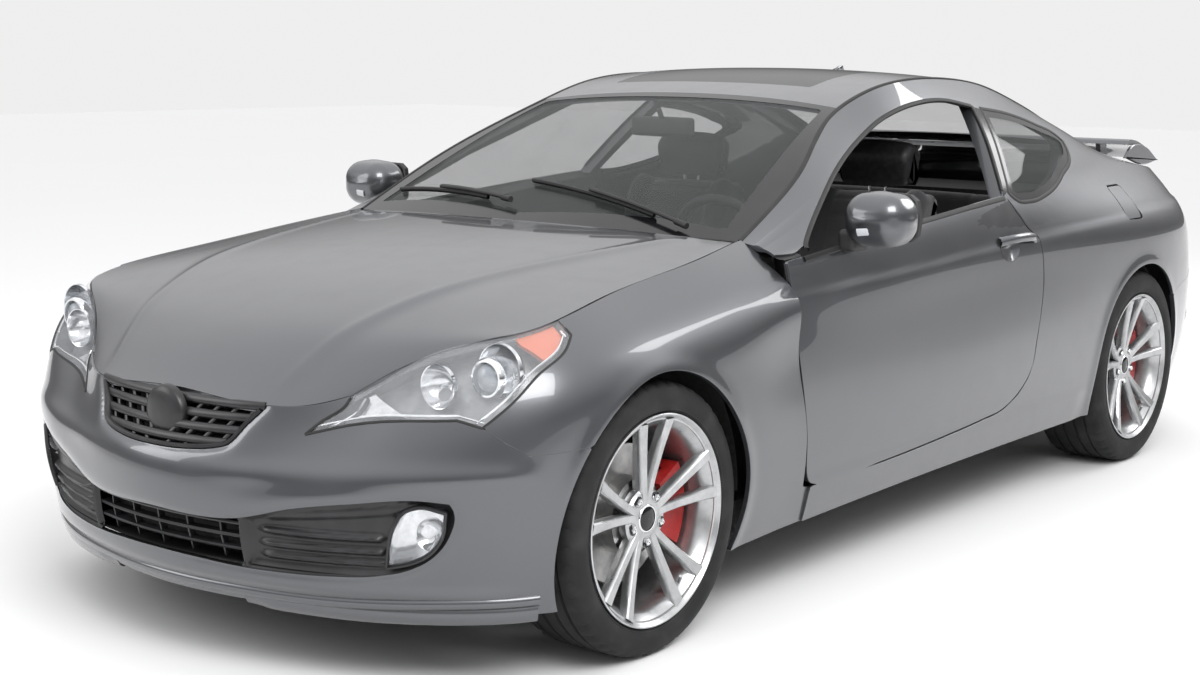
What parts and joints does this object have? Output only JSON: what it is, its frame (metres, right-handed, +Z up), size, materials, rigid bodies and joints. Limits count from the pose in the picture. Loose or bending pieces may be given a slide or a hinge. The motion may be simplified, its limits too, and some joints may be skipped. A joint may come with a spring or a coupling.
{
  "type": "two-door coupe car",
  "caption": "Low two-door coupe with opening doors, hood, trunk lid and fuel flap, steering front wheels on twin-spoke rims and a rear wing.",
  "frame": {"origin": "on the ground under the middle of the car's overall box", "axes": "+X forward, +Y to the car's left, +Z up"},
  "size_m": [4.63, 2.096, 1.376],
  "materials": {
    "paint": "gloss metallic paint",
    "body_metal": "satin paint",
    "black_plastic": "fine grain",
    "gloss_black": "gloss",
    "glass": "clear",
    "lamp": "clear lens over chrome",
    "red_lens": "gloss",
    "interior": "dark cloth",
    "dash_plastic": "soft grain",
    "engine_metal": "cast",
    "chassis_metal": "satin black",
    "exhaust_steel": "brushed",
    "caliper_red": "gloss",
    "tyre": "black rubber",
    "wheel_alloy": "bright silver",
    "disc_iron": "turned"
  },
  "bodies": {
    "body": {"floor_pan": "body_metal", "side_frame_l": "paint", "side_frame_r": "paint", "roof_panel": "paint", "fixed_glass": "glass", "fender_l": "paint", "fender_r": "paint", "front_bumper": "paint", "rear_bumper": "paint", "upper_grille": "black_plastic", "lower_grille": "black_plastic", "headlamps": "lamp", "fog_lamps": "lamp", "tail_lamps": "red_lens", "cowl_panel": "black_plastic", "wipers": "black_plastic", "wheel_liners": "black_plastic", "dashboard": "dash_plastic", "front_seats": "interior", "rear_seat": "interior", "engine_block": "engine_metal", "front_subframe": "chassis_metal", "rear_subframe": "chassis_metal", "rear_calipers": "caliper_red", "exhaust": "exhaust_steel"},
    "knuckle_l": {"knuckle_l": "chassis_metal", "caliper_fl": "caliper_red"},
    "knuckle_r": {"knuckle_r": "chassis_metal", "caliper_fr": "caliper_red"},
    "door_l": {"door_l": "paint", "mirror_l": "paint"},
    "door_r": {"door_r": "paint", "mirror_r": "paint", "door_glass_r": "glass"},
    "hood": {"hood": "paint"},
    "trunk_lid": {"trunk_lid": "paint", "spoiler": "paint"},
    "fuel_flap": {"fuel_flap": "paint"},
    "steering_wheel": {"steering_wheel": "dash_plastic"},
    "wheel_fl": {"tyre_fl": "tyre", "rim_fl": "wheel_alloy", "disc_fl": "disc_iron"},
    "wheel_fr": {"tyre_fr": "tyre", "rim_fr": "wheel_alloy", "disc_fr": "disc_iron"},
    "wheel_rl": {"tyre_rl": "tyre", "rim_rl": "wheel_alloy", "disc_rl": "disc_iron"},
    "wheel_rr": {"tyre_rr": "tyre", "rim_rr": "wheel_alloy", "disc_rr": "disc_iron"}
  },
  "joints": [
    {"name": "steer_l", "type": "hinge", "parent": "body", "child": "knuckle_l", "pos_m": [1.525, 0.7, 0.211], "axis": [0, -0.1547, 0.988], "range_deg": [-33, 33]},
    {"name": "steer_r", "type": "hinge", "parent": "body", "child": "knuckle_r", "pos_m": [1.525, -0.7, 0.211], "axis": [0, 0.1547, 0.988], "range_deg": [-33, 33]},
    {"name": "steering_wheel_turn", "type": "hinge", "parent": "body", "child": "steering_wheel", "pos_m": [0.47, 0.37, 0.85], "axis": [-0.9063, 0, 0.4226], "range_deg": [-500, 500]},
    {"name": "wheel_fl_spin", "type": "hinge", "parent": "knuckle_l", "child": "wheel_fl", "pos_m": [1.525, 0.8, 0.3313], "axis": [0, 1, 0], "continuous": true},
    {"name": "wheel_fr_spin", "type": "hinge", "parent": "knuckle_r", "child": "wheel_fr", "pos_m": [1.525, -0.8, 0.3313], "axis": [0, 1, 0], "continuous": true},
    {"name": "wheel_rl_spin", "type": "hinge", "parent": "body", "child": "wheel_rl", "pos_m": [-1.295, 0.8, 0.3393], "axis": [0, 1, 0], "continuous": true},
    {"name": "wheel_rr_spin", "type": "hinge", "parent": "body", "child": "wheel_rr", "pos_m": [-1.295, -0.8, 0.3393], "axis": [0, 1, 0], "continuous": true},
    {"name": "door_l_hinge", "type": "hinge", "parent": "body", "child": "door_l", "pos_m": [0.835, 0.886, 0.52], "axis": [0, 0, -1], "range_deg": [0, 65]},
    {"name": "door_r_hinge", "type": "hinge", "parent": "body", "child": "door_r", "pos_m": [0.835, -0.886, 0.52], "axis": [0, 0, 1], "range_deg": [0, 65]},
    {"name": "hood_hinge", "type": "hinge", "parent": "body", "child": "hood", "pos_m": [0.958, 0, 0.908], "axis": [0, -1, 0], "range_deg": [0, 40]},
    {"name": "trunk_hinge", "type": "hinge", "parent": "body", "child": "trunk_lid", "pos_m": [-1.57442, 0, 1.07475], "axis": [0, 1, 0], "range_deg": [0, 70]},
    {"name": "fuel_flap_hinge", "type": "hinge", "parent": "body", "child": "fuel_flap", "pos_m": [-1.17853, 0.86007, 0.92], "axis": [0.0136, 0.5922, -0.8057], "range_deg": [0, 80]}
  ],
  "couplings": [
    {"joint": "steer_r", "follows": "steer_l", "ratio": 1},
    {"joint": "steering_wheel_turn", "follows": "steer_l", "ratio": 14.9}
  ]
}
